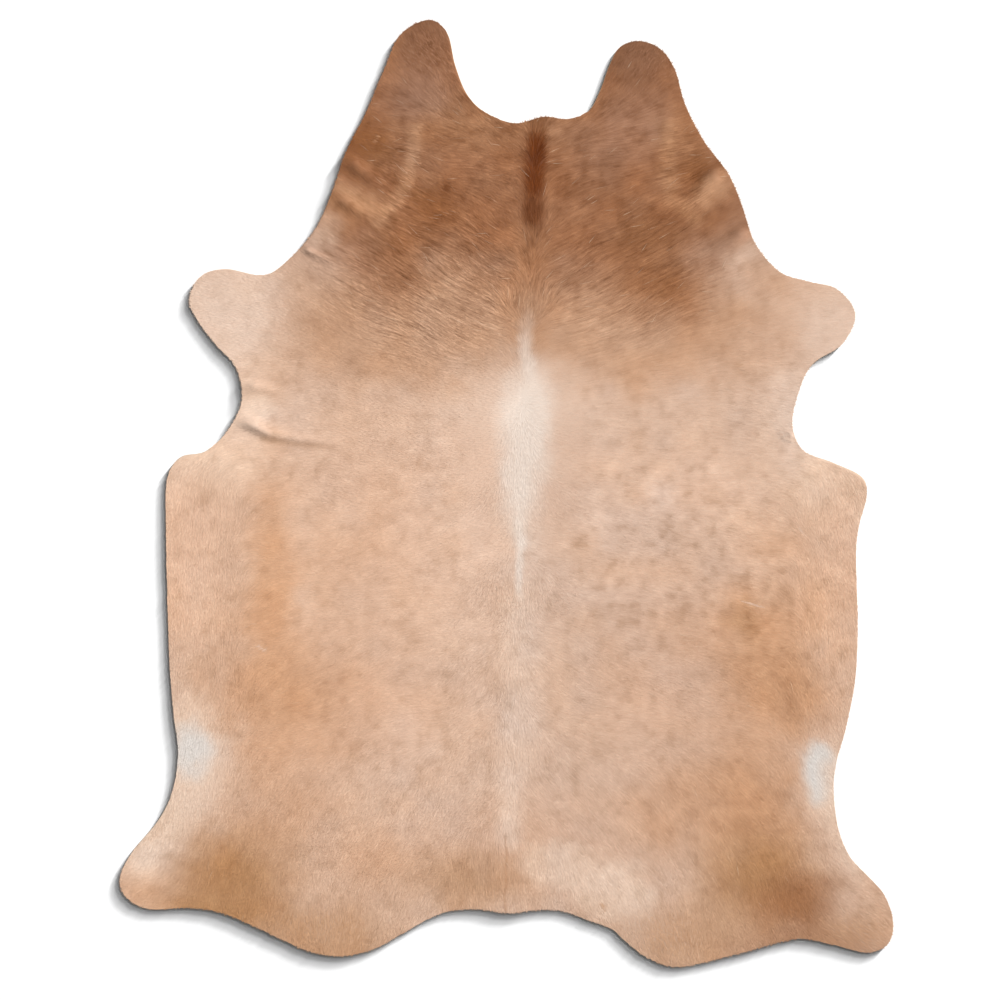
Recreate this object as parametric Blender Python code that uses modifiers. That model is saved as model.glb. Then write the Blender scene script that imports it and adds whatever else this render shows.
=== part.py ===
"""A cowhide rug with the hair left on, cut as one piece and laid flat.

The hide lies hair side up with its neck towards +Y. It is a single sheet of
leather, flat on the floor but for the soft folds that the neck and the two
elbows keep. Run it with: blender --background --python part.py
"""

import math

import bpy
from mathutils import Vector
from mathutils.geometry import delaunay_2d_cdt

# Driving dimensions, in metres
HIDE_LENGTH = 2.200
SHEET_THICKNESS = 0.003
MM = 0.001

# How finely the surface is cut up, in metres unless named otherwise
EDGE_STEP = 0.014
FINE_STEP = 0.010
COARSE_EVERY_STEPS = 6
EDGE_MARGIN = 0.006
FLAT_BELOW = 0.0004
POINTS_PER_SPAN = 24
KEEP_INSIDE_ONLY = 1
MERGE_WITHIN = 0.000001

COAT_COLOUR = (0.62, 0.40, 0.26, 1.0)
COAT_ROUGHNESS = 0.75

# The cut edge, clockwise from the tip of the left neck flap as seen from above.
# Columns: landmark, millimetres to the right, millimetres towards the neck.
OUTLINE = (
    ("left neck flap tip", -182, 1100),
    ("left flap inner shoulder", -138, 1070),
    ("left flap inner side", -119, 995),
    ("left flap root", -92, 928),
    ("nape left corner", -49, 885),
    ("nape dip left", 19, 860),
    ("nape crest", 86, 875),
    ("nape dip right", 143, 870),
    ("nape right corner", 190, 888),
    ("right flap root", 217, 936),
    ("right flap inner side", 239, 996),
    ("right flap inner shoulder", 263, 1036),
    ("right neck flap tip", 308, 1051),
    ("right flap outer shoulder", 358, 1032),
    ("right flap outer side", 392, 983),
    ("right neck top", 415, 904),
    ("right neck waist", 458, 820),
    ("right jowl", 516, 741),
    ("right jowl lower side", 548, 666),
    ("right shoulder", 577, 582),
    ("right shoulder dip", 634, 515),
    ("right foreleg top", 701, 492),
    ("right foreleg upper corner", 768, 474),
    ("right foreleg tip", 810, 416),
    ("right foreleg lower corner", 780, 347),
    ("right foreleg root", 713, 302),
    ("right elbow", 682, 245),
    ("right elbow hollow", 664, 162),
    ("right elbow foot", 689, 100),
    ("right belly shoulder", 756, 72),
    ("right belly corner", 824, 39),
    ("right belly corner side", 837, -4),
    ("right belly top", 819, -76),
    ("right belly side", 812, -146),
    ("right belly middle", 816, -305),
    ("right belly foot", 810, -434),
    ("right flank top", 787, -551),
    ("right flank", 768, -618),
    ("right flank hollow", 760, -685),
    ("right thigh", 770, -775),
    ("right thigh foot", 797, -843),
    ("right hock", 841, -891),
    ("right hind bend", 878, -934),
    ("right hind tip side", 898, -994),
    ("right hind tip", 887, -1046),
    ("right hind tip foot", 838, -1067),
    ("right hind underside", 754, -1048),
    ("right rump dip", 670, -1036),
    ("right rump side", 534, -1071),
    ("right rump lobe", 402, -1100),
    ("right rump lobe corner", 329, -1080),
    ("right rump step", 275, -1040),
    ("right rump step head", 245, -1013),
    ("tail right side", 186, -991),
    ("tail right shoulder", 131, -971),
    ("tail right", 77, -968),
    ("tail root", 4, -975),
    ("tail left", -74, -966),
    ("tail left side", -154, -977),
    ("left rump slope", -239, -1021),
    ("left rump lobe corner", -304, -1057),
    ("left rump lobe", -381, -1075),
    ("left rump side", -462, -1063),
    ("left hind underside", -578, -1010),
    ("left hind bend", -662, -975),
    ("left hind tip foot", -736, -963),
    ("left hind tip under", -829, -966),
    ("left hind tip", -882, -940),
    ("left hind tip side", -898, -894),
    ("left hock", -867, -830),
    ("left thigh", -809, -759),
    ("left flank foot", -775, -688),
    ("left flank hollow", -763, -601),
    ("left flank top", -773, -517),
    ("left belly foot", -782, -410),
    ("left belly middle", -788, -248),
    ("left belly top", -791, -85),
    ("left belly corner side", -789, 30),
    ("left belly corner", -759, 83),
    ("left belly shoulder", -699, 98),
    ("left elbow foot", -647, 147),
    ("left elbow hollow", -615, 216),
    ("left elbow", -628, 291),
    ("left foreleg root", -675, 345),
    ("left foreleg lower corner", -718, 402),
    ("left foreleg tip", -737, 450),
    ("left foreleg upper corner", -711, 503),
    ("left foreleg top", -653, 521),
    ("left shoulder dip", -563, 507),
    ("left shoulder", -503, 546),
    ("left jowl lower side", -443, 616),
    ("left jowl", -405, 700),
    ("left neck waist", -373, 793),
    ("left neck top", -326, 886),
    ("left flap outer side", -285, 983),
    ("left flap outer shoulder", -247, 1065),
)

# Where the sheet rises off the floor. Each fold is a soft ridge that runs in
# from the cut edge and dies away. Columns: fold, outer end, bend and inner end
# in millimetres as above, then crest height and half width in millimetres.
FOLDS = (
    ("left jowl upper fold", (-372, 776), (-322, 742), (-262, 702), 9.0, 26.0),
    ("left jowl lower fold", (-399, 690), (-342, 657), (-276, 626), 8.0, 24.0),
    ("left shoulder pinch", (-474, 568), (-434, 549), (-392, 532), 6.0, 15.0),
    ("left elbow fold", (-617, 174), (-556, 143), (-430, 124), 9.0, 26.0),
    ("left elbow upper fold", (-610, 252), (-562, 246), (-514, 238), 5.0, 20.0),
    ("right jowl upper fold", (501, 752), (456, 712), (406, 678), 8.0, 26.0),
    ("right jowl lower fold", (566, 614), (525, 588), (440, 558), 9.0, 26.0),
    ("right elbow pinch", (668, 132), (654, 138), (636, 152), 5.0, 13.0),
)


def closed_curve(points, per_span):
    """Points on a smooth closed curve through the given ones, evenly many in each span."""
    count = len(points)
    curve = []
    for i in range(count):
        before, start, end, after = (points[(i + k - 1) % count] for k in range(4))
        for step in range(per_span):
            t = step / per_span
            bend = (2 * before - 5 * start + 4 * end - after) * t * t
            twist = (3 * start - before - 3 * end + after) * t * t * t
            curve.append((2 * start + (end - before) * t + bend + twist) / 2)
    return curve


def evenly_spaced(curve, step):
    """The closed curve's points again, about one step apart along it."""
    lengths = [(curve[i] - curve[i - 1]).length for i in range(len(curve))]
    count = round(sum(lengths) / step)
    gap = sum(lengths) / count
    spaced = []
    travelled = 0.0
    for i, length in enumerate(lengths):
        start, end = curve[i - 1], curve[i]
        while len(spaced) < count and len(spaced) * gap <= travelled + length:
            share = (len(spaced) * gap - travelled) / length
            spaced.append(start.lerp(end, share))
        travelled += length
    return spaced


def cut_edge():
    """The hide's outline in metres, its box centred on the origin and HIDE_LENGTH long."""
    landmarks = [Vector((right, along)) for _, right, along in OUTLINE]
    curve = closed_curve(landmarks, POINTS_PER_SPAN)
    low = Vector((min(p.x for p in curve), min(p.y for p in curve)))
    high = Vector((max(p.x for p in curve), max(p.y for p in curve)))
    scale = HIDE_LENGTH / (high.y - low.y)
    centred = [(p - (low + high) / 2) * scale for p in curve]
    return evenly_spaced(centred, EDGE_STEP)


def nearest_on_line(point, line):
    """Distance from point to a line of straight pieces, and how far along it that is, from 0 to 1."""
    total = sum((line[i + 1] - line[i]).length for i in range(len(line) - 1))
    best, share, travelled = math.inf, 0.0, 0.0
    for start, end in zip(line, line[1:]):
        run = end - start
        t = max(0.0, min(1.0, (point - start).dot(run) / run.length_squared))
        distance = (point - start - run * t).length
        if distance < best:
            best, share = distance, (travelled + run.length * t) / total
        travelled += run.length
    return best, share


def fold_lift(point):
    """How high the sheet's underside lies above the floor at a point."""
    lift = 0.0
    for _, outer, bend, inner, height, half_width in FOLDS:
        line = [Vector(end) * MM for end in (outer, bend, inner)]
        distance, share = nearest_on_line(point, line)
        across = distance / (half_width * MM)
        fade = math.cos(share * math.pi / 2) ** 2
        if across < 1:
            lift = max(lift, height * MM * fade * math.cos(across * math.pi / 2) ** 2)
    return lift


def inside(point, loop):
    """Whether a point lies inside a closed loop."""
    crossings = 0
    for i, end in enumerate(loop):
        start = loop[i - 1]
        if (start.y > point.y) != (end.y > point.y):
            at = start.x + (point.y - start.y) * (end.x - start.x) / (end.y - start.y)
            crossings += at > point.x
    return crossings % 2 == 1


def inner_points(loop):
    """Points within the hide: a coarse grid where it lies flat, and a fine one on the folds."""
    across = math.ceil(max(abs(p.x) for p in loop) / FINE_STEP)
    along = math.ceil(max(abs(p.y) for p in loop) / FINE_STEP)
    points = []
    for row in range(-along, along + 1):
        for column in range(-across, across + 1):
            point = Vector((column + 0.5 * (row % 2), row)) * FINE_STEP
            coarse = row % COARSE_EVERY_STEPS == 0 and (column + row) % COARSE_EVERY_STEPS == 0
            if not coarse and fold_lift(point) < FLAT_BELOW:
                continue
            clear = min((point - p).length for p in loop) > EDGE_MARGIN
            if clear and inside(point, loop):
                points.append(point)
    return points


def hide_surface():
    """The open surface of the hide's underside, triangulated to its cut edge."""
    loop = cut_edge()
    points = loop + inner_points(loop)
    edges = [(i, (i + 1) % len(loop)) for i in range(len(loop))]
    region = [list(range(len(loop)))]
    corners, _, faces, *_ = delaunay_2d_cdt(points, edges, region, KEEP_INSIDE_ONLY, MERGE_WITHIN)
    mesh = bpy.data.meshes.new("hide")
    mesh.from_pydata([(p.x, p.y, fold_lift(p)) for p in corners], [], faces)
    mesh.update()
    if sum(face.normal.z for face in mesh.polygons) < 0:
        mesh.flip_normals()
    return mesh


def coat_material():
    """Short tan hair on leather."""
    material = bpy.data.materials.new("tan_coat")
    material.use_nodes = True
    shader = material.node_tree.nodes["Principled BSDF"]
    shader.inputs["Base Color"].default_value = COAT_COLOUR
    shader.inputs["Roughness"].default_value = COAT_ROUGHNESS
    shader.inputs["Metallic"].default_value = 0.0
    return material


def build_hide(collection):
    """The whole hide: its underside thickened upwards into one closed sheet."""
    hide = bpy.data.objects.new("hide", hide_surface())
    collection.objects.link(hide)
    hide.data.materials.append(coat_material())
    sheet = hide.modifiers.new("sheet", "SOLIDIFY")
    sheet.thickness = SHEET_THICKNESS
    sheet.offset = 1.0
    sheet.use_rim = True
    return hide


def main():
    for old in list(bpy.data.objects):
        bpy.data.objects.remove(old)
    collection = bpy.data.collections.new("cowhide_rug")
    bpy.context.scene.collection.children.link(collection)
    build_hide(collection)


main()
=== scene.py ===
"""A whole cowhide rug with its short hair left on, laid flat on a pale floor.

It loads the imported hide, lays a leather skin in its place, covers that with
locks of hair and sets a plain studio around it. The hide lies hair side up
with its neck towards +Y. Sizes are in metres, those in the tables in mm.
"""

import math

import bmesh
import bpy
import numpy as np
from bpy.props import FloatProperty, FloatVectorProperty, IntProperty, PointerProperty
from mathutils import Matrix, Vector
from mathutils.geometry import delaunay_2d_cdt
from mathutils.kdtree import KDTree


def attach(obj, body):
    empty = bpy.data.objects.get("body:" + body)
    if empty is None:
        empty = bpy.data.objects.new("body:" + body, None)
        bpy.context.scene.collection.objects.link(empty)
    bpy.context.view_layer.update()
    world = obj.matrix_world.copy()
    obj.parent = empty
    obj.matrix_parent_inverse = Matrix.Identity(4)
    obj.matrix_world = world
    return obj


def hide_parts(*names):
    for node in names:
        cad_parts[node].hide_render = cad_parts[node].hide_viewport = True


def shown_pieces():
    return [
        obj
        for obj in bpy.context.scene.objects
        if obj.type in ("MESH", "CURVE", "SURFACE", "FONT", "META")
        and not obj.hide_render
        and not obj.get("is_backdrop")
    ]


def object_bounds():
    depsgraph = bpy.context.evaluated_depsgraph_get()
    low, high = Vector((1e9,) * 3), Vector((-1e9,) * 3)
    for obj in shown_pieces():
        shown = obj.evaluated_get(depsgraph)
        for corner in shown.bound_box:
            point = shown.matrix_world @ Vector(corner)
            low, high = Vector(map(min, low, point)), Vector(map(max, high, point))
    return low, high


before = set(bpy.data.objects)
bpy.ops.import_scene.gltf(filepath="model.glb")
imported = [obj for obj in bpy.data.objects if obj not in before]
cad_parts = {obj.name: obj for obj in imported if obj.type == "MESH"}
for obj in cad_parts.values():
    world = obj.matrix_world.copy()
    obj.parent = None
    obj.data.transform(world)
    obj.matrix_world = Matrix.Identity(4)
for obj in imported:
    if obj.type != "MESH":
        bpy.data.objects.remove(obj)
CAD_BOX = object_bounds()

bl_info = {
    "name": "Cowhide Rug",
    "version": (1, 0, 0),
    "blender": (4, 5, 0),
    "location": "3D View > Sidebar > Cowhide",
    "description": "Lays out a cowhide rug in a plain studio",
    "category": "Add Mesh",
}

MM = 0.001
HIDE_NODE = "hide"
BODY = "root"
SKIN_NAME = "hide_skin"

# Places in the tables count from the middle of the hide's box, first to the right and
# then towards the neck.

# The line of the spine, from the tail to the nape. Columns: towards the neck, to the right.
SPINE = ((-1100, 0), (-500, 22), (-100, 28), (150, 37), (360, 50), (620, 62), (900, 68))

# The folds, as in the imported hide. Columns: fold, its points from the cut edge in, crest
# height, half width.
FOLDS = (
    ("left jowl upper fold", ((-372, 776), (-322, 742), (-262, 702)), 9.0, 26.0),
    ("left jowl lower fold", ((-399, 690), (-342, 657), (-276, 626)), 8.0, 24.0),
    ("left shoulder pinch", ((-474, 568), (-434, 549), (-392, 532)), 6.0, 15.0),
    ("left elbow fold", ((-617, 174), (-556, 143), (-430, 124)), 9.0, 26.0),
    ("left elbow upper fold", ((-610, 252), (-562, 246), (-514, 238)), 5.0, 20.0),
    ("right jowl upper fold", ((501, 752), (456, 712), (406, 678)), 8.0, 26.0),
    ("right jowl lower fold", ((566, 614), (525, 588), (440, 558)), 9.0, 26.0),
    ("right elbow pinch", ((668, 132), (654, 138), (636, 152)), 5.0, 13.0),
)

# Small rolls of skin beside the folds, with the same columns
ROLLS = (
    ("left elbow roll", ((-628, 168), (-582, 151), (-549, 137), (-489, 127), (-390, 117)), 2.5, 14.0),
    ("left shoulder roll", ((-473, 570), (-401, 537)), 2.5, 9.0),
    ("right jowl roll", ((552, 690), (505, 672), (465, 650)), 2.5, 12.0),
    ("right elbow roll", ((670, 119), (647, 126), (633, 152)), 2.0, 8.0),
)

# The way the hair points on the right half, mirrored on the left. Columns: place, to the
# right of the spine, towards the neck, degrees from +X.
GUIDES = (
    ("crest top", 0, 880, 90),
    ("crest", 0, 650, 90),
    ("crest foot", 0, 450, 90),
    ("crest side top", 45, 850, 12),
    ("crest side", 45, 760, 10),
    ("crest side low", 45, 670, 12),
    ("crest side foot", 50, 590, 20),
    ("fan side", 52, 510, 20),
    ("fan foot", 55, 390, 12),
    ("fan outer", 110, 440, 20),
    ("withers side", 75, 220, 0),
    ("spine side top", 75, 80, -8),
    ("spine side", 75, -120, -10),
    ("spine side low", 75, -320, -14),
    ("loin side", 75, -520, -22),
    ("rump side", 75, -720, -38),
    ("spine top", 0, 60, -90),
    ("spine", 0, -250, -90),
    ("spine low", 0, -550, -90),
    ("tail", 0, -880, -90),
    ("neck near the crest", 160, 780, 8),
    ("neck side", 300, 850, 14),
    ("flap", 210, 1000, 60),
    ("jowl", 440, 720, 30),
    ("neck foot", 170, 600, 18),
    ("shoulder inner", 170, 440, 24),
    ("shoulder", 280, 470, 26),
    ("shoulder outer", 450, 470, 25),
    ("foreleg", 700, 410, 5),
    ("chest", 350, 250, 8),
    ("chest inner", 180, 230, 4),
    ("elbow", 600, 180, -15),
    ("rib top", 200, 50, 0),
    ("rib", 450, 20, 0),
    ("rib low", 200, -250, -2),
    ("rib outer", 440, -260, -4),
    ("rib edge top", 590, 40, -4),
    ("rib edge", 590, -130, -4),
    ("rib edge low", 590, -310, -8),
    ("belly top", 690, -30, -84),
    ("belly middle", 680, -170, -88),
    ("belly", 690, -320, -86),
    ("belly edge", 770, -200, -80),
    ("belly foot", 700, -450, -76),
    ("loin", 230, -520, -6),
    ("loin outer", 500, -540, -18),
    ("flank", 720, -640, -70),
    ("rump", 240, -820, -48),
    ("thigh", 520, -800, -55),
    ("hind leg", 640, -920, -72),
    ("hind tip", 830, -980, -35),
    ("rump lobe", 400, -1020, -80),
)

# Soft oval markings, painted in this order. Columns: place, colour, middle, half sizes,
# turn in degrees, softness of the rim from 0 to 1, strength.
# Some ovals on the jowl folds and the left elbow fold are partly painted highlight and painted shade
OVALS = (
    ("ribs", "rib_beige", (-20, -60), (610, 310), 0, 0.6, 0.3),
    ("left loin", "loin_beige", (-380, -500), (420, 260), 0, 0.9, 0.9),
    ("right loin", "loin_beige", (400, -420), (330, 420), 0, 0.9, 0.9),
    ("rump", "loin_beige", (20, -800), (480, 180), 0, 0.9, 0.7),
    ("right rib bloom", "rib_beige", (450, 0), (190, 130), 0, 1.0, 0.6),
    ("chest", "chest_tan", (43, 385), (820, 215), 0, 0.5, 0.9),
    ("left rib", "flank_tan", (-340, -120), (290, 540), 0, 1.0, 0.38),
    ("withers bloom", "leg_cream", (42, 225), (270, 145), 0, 0.8, 0.75),
    ("withers bloom low", "leg_cream", (45, 90), (125, 260), 0, 1.0, 0.85),
    ("neck", "neck_brown", (50, 830), (950, 465), 0, 0.45, 1.0),
    ("nape", "jowl_tan", (-20, 845), (330, 80), 0, 1.0, 0.4),
    ("nape foot left", "chest_tan", (-130, 470), (200, 150), 0, 1.0, 0.75),
    ("left flap root", "flap_pink", (-200, 930), (130, 120), 0, 0.9, 0.8),
    ("right flap root", "flap_pink", (310, 870), (110, 130), 0, 0.9, 0.8),
    ("left flap", "cool_brown", (-185, 1060), (100, 130), 0, 0.8, 0.9),
    ("right flap", "cool_brown", (312, 1010), (105, 125), 0, 0.8, 0.9),
    ("nape bloom left", "jowl_tan", (-110, 860), (150, 110), 0, 1.0, 0.4),
    ("nape bloom right", "flap_pink", (235, 800), (140, 120), 0, 1.0, 0.4),
    ("left cheek", "cheek_brown", (-322, 812), (110, 98), -20, 0.8, 0.95),
    ("left cheek low", "cheek_brown", (-165, 670), (95, 85), -25, 0.9, 0.8),
    ("left shoulder", "shoulder_brown", (-262, 540), (140, 140), 15, 0.9, 0.65),
    ("left jowl edge", "jowl_tan", (-410, 645), (90, 80), 0, 1.0, 0.7),
    ("right neck edge", "jowl_tan", (400, 840), (110, 100), 0, 1.0, 0.5),
    ("right cheek", "cheek_brown", (440, 748), (88, 92), 20, 0.8, 0.8),
    ("right cheek low", "cheek_brown", (315, 590), (150, 130), 25, 0.9, 0.6),
    ("right shoulder", "shoulder_brown", (370, 480), (190, 170), -15, 1.0, 0.9),
    # Partly pale coat and partly painted highlight on the lit flanks of the jowl folds; the dark oval
    # below is partly painted shade on a fold's shaded flank
    ("left jowl pale and highlight", "jowl_pale_and_highlight", (-338, 676), (110, 45), -33, 0.9, 0.95),
    ("left jowl foot", "leg_cream", (-438, 602), (85, 58), 35, 1.0, 0.5),
    ("right jowl pale and highlight", "jowl_pale_and_highlight", (474, 702), (95, 48), 40, 0.9, 0.85),
    ("right jowl brown and shade", "cheek_brown", (492, 632), (75, 45), 20, 0.9, 0.5),
    ("right jowl foot", "leg_cream", (570, 560), (90, 45), 35, 1.0, 0.45),
    ("right shoulder dip", "chest_tan", (620, 500), (95, 60), 0, 1.0, 0.6),
    ("crest fan", "orange_tan", (50, 490), (85, 210), 0, 0.9, 0.9),
    ("crest fan foot", "chest_tan", (50, 415), (80, 115), 0, 1.0, 0.75),
    ("left foreleg", "leg_cream", (-650, 410), (190, 200), 0, 0.7, 1.0),
    ("right foreleg", "leg_cream", (780, 370), (170, 170), 0, 0.8, 0.7),
    ("left elbow", "leg_cream", (-635, 190), (130, 135), 0, 0.9, 0.75),
    # Partly pale coat and partly painted highlight on the lit upper side of the left elbow fold
    ("left elbow cream and highlight", "flank_cream", (-585, 205), (75, 40), 0, 0.8, 0.85),
    ("right armpit", "leg_cream", (675, 175), (125, 190), 0, 0.9, 0.9),
    ("left belly corner", "belly_cream", (-690, 65), (190, 110), 0, 0.8, 0.95),
    ("right belly corner", "belly_cream", (770, 0), (200, 185), 0, 0.9, 0.9),
    ("left belly", "peach_tan", (-610, -250), (220, 460), 0, 0.7, 0.6),
    ("left belly band", "flank_tan", (-545, -190), (95, 380), 0, 0.9, 0.8),
    ("left belly edge", "peach", (-760, -150), (150, 330), 0, 0.8, 0.95),
    ("left flank", "flank_tan", (-520, -480), (260, 250), 0, 0.9, 0.85),
    ("right belly", "peach_tan", (660, -300), (220, 400), 0, 0.7, 0.9),
    ("right belly dark", "flank_tan", (590, -400), (190, 260), 0, 0.9, 0.9),
    ("right belly edge", "peach", (790, -150), (95, 300), 0, 0.9, 0.8),
    ("right belly foot", "flank_tan", (690, -480), (110, 130), 0, 0.9, 0.8),
    ("right belly stain", "golden_brown", (548, -294), (60, 75), 10, 0.8, 0.5),
    ("left thigh", "flank_tan", (-540, -740), (240, 220), 0, 0.9, 0.6),
    ("right thigh", "flank_tan", (560, -720), (240, 260), 0, 0.9, 0.9),
    ("left rump", "flank_tan", (-300, -860), (180, 140), 0, 1.0, 0.6),
    ("right rump", "flank_tan", (370, -740), (180, 180), 0, 1.0, 0.6),
    ("left rump lobe", "rump_tan", (-410, -1040), (260, 150), 0, 0.8, 0.9),
    ("right rump lobe", "rump_tan", (430, -1040), (250, 160), 0, 0.9, 0.8),
    ("tail left", "rump_tan", (-90, -905), (240, 125), 0, 1.0, 0.9),
    ("left hind leg", "golden_brown", (-640, -885), (240, 180), 0, 0.9, 1.0),
    ("left hind underside", "golden_brown", (-660, -970), (260, 110), 0, 0.9, 1.0),
    ("right hind leg", "golden_brown", (590, -890), (220, 180), 15, 0.9, 1.0),
    ("right hind shin", "hind_brown", (680, -950), (170, 110), 0, 0.9, 0.9),
    ("right hind underside", "hind_brown", (700, -1060), (270, 110), 0, 0.9, 0.75),
    ("left hind tip", "tan", (-860, -895), (110, 120), 0, 0.8, 0.75),
    ("right hind tip", "tan", (880, -960), (85, 110), 0, 0.9, 0.45),
    ("right hind foot", "golden_brown", (810, -1010), (130, 75), 0, 1.0, 0.45),
    ("left flank cream", "flank_cream", (-750, -610), (170, 220), 0, 0.8, 1.0),
    ("right flank cream", "flank_cream", (750, -665), (105, 135), 0, 0.8, 0.9),
    ("left flank white", "flank_white", (-742, -596), (86, 84), 0, 0.8, 0.95),
    ("right flank white", "flank_white", (728, -645), (60, 85), 0, 0.6, 1.0),
    ("withers top", "withers_cream", (50, 320), (30, 130), 0, 0.9, 0.6),
    ("withers", "withers_cream", (48, 150), (85, 230), 0, 0.8, 0.9),
    ("withers foot", "withers_cream", (41, 20), (78, 165), 0, 1.0, 0.9),
    ("cream patch", "flank_cream", (124, -865), (125, 72), 0, 0.5, 0.7),
    ("cream patch right", "flank_cream", (250, -925), (125, 82), 0, 0.5, 0.8),
    ("cream patch fleck", "rump_tan", (217, -952), (12, 9), 0, 0.8, 0.7),
)

# Soft lines, painted over the ovals. Columns: line, colour, its points, half width,
# softness of the rim from 0 to 1, strength.
LINES = (
    ("left jowl line", "jowl_pale_and_highlight", ((-205, 844), (-218, 774), (-236, 704), (-300, 630)), 26, 0.9, 0.6),
    ("right jowl line", "jowl_tan", ((375, 850), (375, 763), (384, 681), (440, 640)), 30, 0.9, 0.6),
    ("left flank stream", "flank_cream", ((-770, -718), (-795, -765), (-845, -840)), 95, 0.9, 0.95),
    ("right flank stream", "flank_cream", ((763, -650), (775, -760), (812, -845)), 60, 0.9, 0.8),
    ("spine bloom", "leg_cream", ((43, -90), (40, -200), (34, -620)), 80, 1.0, 0.7),
    ("spine", "withers_cream", ((45, 190), (38, 40), (31, -110)), 32, 1.0, 0.7),
    ("spine fork", "withers_cream", ((31, -70), (26, -290)), 17, 0.9, 0.75),
    ("spine low", "leg_cream", ((26, -260), (22, -480), (8, -800)), 50, 1.0, 0.95),
    ("tail line", "hind_brown", ((-3, -800), (-4, -968)), 5, 0.9, 0.3),
    ("crest stripe top", "crest_tan", ((70, 880), (68, 800)), 30, 0.6, 0.6),
    ("crest stripe foot", "crest_tan", ((61, 660), (58, 575)), 36, 1.0, 0.5),
    ("crest stripe", "stripe_brown", ((67, 820), (62, 645)), 39, 0.75, 0.66),
    ("crest stripe core", "stripe_brown", ((67, 808), (65, 715)), 34, 0.8, 0.75),
    ("right belly scratch", "leg_cream", ((547, -253), (594, -264)), 3, 0.5, 0.6),
    ("right rib scratch", "leg_cream", ((677, -76), (689, -92)), 3, 0.5, 0.6),
    ("left belly scratch", "leg_cream", ((-577, -352), (-559, -364)), 3, 0.5, 0.6),
    ("left cheek scratch", "flank_tan", ((-298, 835), (-306, 818)), 3, 0.5, 0.6),
)

# Painted shade in the troughs beside the folds. Columns: trough, its points, half width, how much
# darker.
PAINTED_SHADE_TROUGHS = (
    ("left jowl upper trough", ((-386, 752), (-345, 730), (-302, 702)), 20, 0.22),
    ("left jowl lower trough", ((-392, 664), (-352, 644), (-318, 632)), 18, 0.12),
    ("left shoulder trough", ((-418, 560), (-396, 548)), 9, 0.25),
    ("left elbow trough", ((-640, 158), (-592, 144), (-552, 124)), 14, 0.04),
    ("left elbow inner trough", ((-565, 127), (-500, 116), (-385, 104)), 15, 0.26),
    ("left elbow upper trough", ((-610, 231), (-560, 233), (-520, 228)), 18, 0.14),
    ("right jowl upper trough", ((500, 770), (452, 736), (410, 700)), 20, 0.16),
    ("right jowl lower trough", ((556, 626), (520, 606), (480, 582)), 22, 0.24),
    ("right elbow trough", ((668, 122), (648, 132)), 8, 0.12),
)

# Where the hair is unlike the rest. Columns: place, middle, half sizes, how much rougher
# and longer.
RUFFLES = (
    ("left shoulder", (-150, 490), (330, 250), 1.0, 0.30),
    ("right shoulder", (260, 500), (300, 220), 0.7, 0.25),
    ("neck", (50, 780), (460, 330), 0.45, 0.10),
    ("left jowl", (-230, 720), (90, 190), 0.8, 0.20),
    ("right jowl", (390, 720), (90, 190), 0.8, 0.20),
    ("crest", (67, 690), (40, 230), 0.4, 0.60),
)

# Where the coat is more blotched than elsewhere, and where its colour is even. Columns:
# place, middle, half sizes, how much more or how even.
BLOTCHED = (
    ("neck", (43, 780), (620, 450), 1.1),
    ("right ribs", (370, -130), (360, 300), 0.5),
    ("right belly", (640, -300), (180, 300), 0.4),
)
EVEN = (
    ("withers", (42, 140), (190, 330), 1.0),
    ("left flank", (-735, -640), (120, 140), 0.8),
    ("right flank", (738, -645), (110, 140), 0.8),
    ("left foreleg", (-650, 430), (200, 150), 0.4),
    ("right foreleg", (770, 390), (190, 150), 0.4),
)

# The lamps that light the floor alone and throw the hide's shadow. Columns: lamp, share of
# the floor's light, its width and its height above the floor in degrees.
FLOOR_LAMPS = (
    ("low", 0.44, 2.4, 4.6),
    ("middle", 0.36, 5.0, 8.5),
    ("high", 0.20, 20.0, 22.0),
)
FLOOR_LAMPS_WAY = 48

# The lamps that light the hide alone: width, azimuth and height above the floor in degrees
KEY_LAMP = (20, 12, 30)
FILL_LAMP = (60, 120, 75)

FLOOR_SIZE = 60.0
FLOOR_DROP = 0.3 * MM
CAMERA_REACH = 100

# How red, green and blue share in a change of the coat's tone, and how far the tone may go
# DARKENING tints the blotches and also the painted shade of the troughs
DARKENING = (0.8, 1.0, 1.2)
LIGHTENING = (0.8, 1.0, 1.1)
WARMING = (0.10, -0.05, -0.25)
SHADING = (0.85, 1.0, 1.12)
DARKEST, PALEST = 0.004, 0.95

# How the random parts are made: each has a seed of its own
SEED_SWELL, SEED_LIE, SEED_WANDER, SEED_DAPPLE, SEED_BLOOM, SEED_STREAK, SEED_LOCKS = range(11, 18)
SEED_WARMTH = 18
SECOND_SEED = 50
CLOUD_REACH = 1.5

# About how wide the clouds are that shape the coat, in metres
LIE_CLOUD = 0.09
WANDER_CLOUD = 0.06
DAPPLE_CLOUD = 0.020
BLOOM_CLOUD = 0.07
WARMTH_CLOUD = 0.06

# How far the edges of ovals and of lines wander, and the size of a streak, in metres
OVAL_WANDER = 0.014
LINE_WANDER = 0.004
STREAK_LENGTH = 0.036
STREAK_WIDTH = 0.0028

# How softly one guide of the hair gives way to the next, and how far the lie of the hair
# and single locks turn at random, in degrees
GUIDE_SOFTNESS = 25
LIE_TURN = 9
LOCK_TURN = 4
ROUGH_TURN = 3
STRAY_TURN = 18

# How lengths of locks vary, how much longer and paler stray ones are, how deep roots sit
LOCK_LENGTHS = (0.75, 1.2)
STRAY_LENGTH = 1.8
STRAY_PALENESS = (0.05, 0.35)
ROOT_DEPTH = 0.2 * MM

# How folds and rolls die down at the cut edge, as shares of their height and length
EDGE_HEIGHT = 0.15
FADE_FROM = -0.05
FOLD_FULL_AT = 0.25
ROLL_FULL_AT = 0.15

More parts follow.
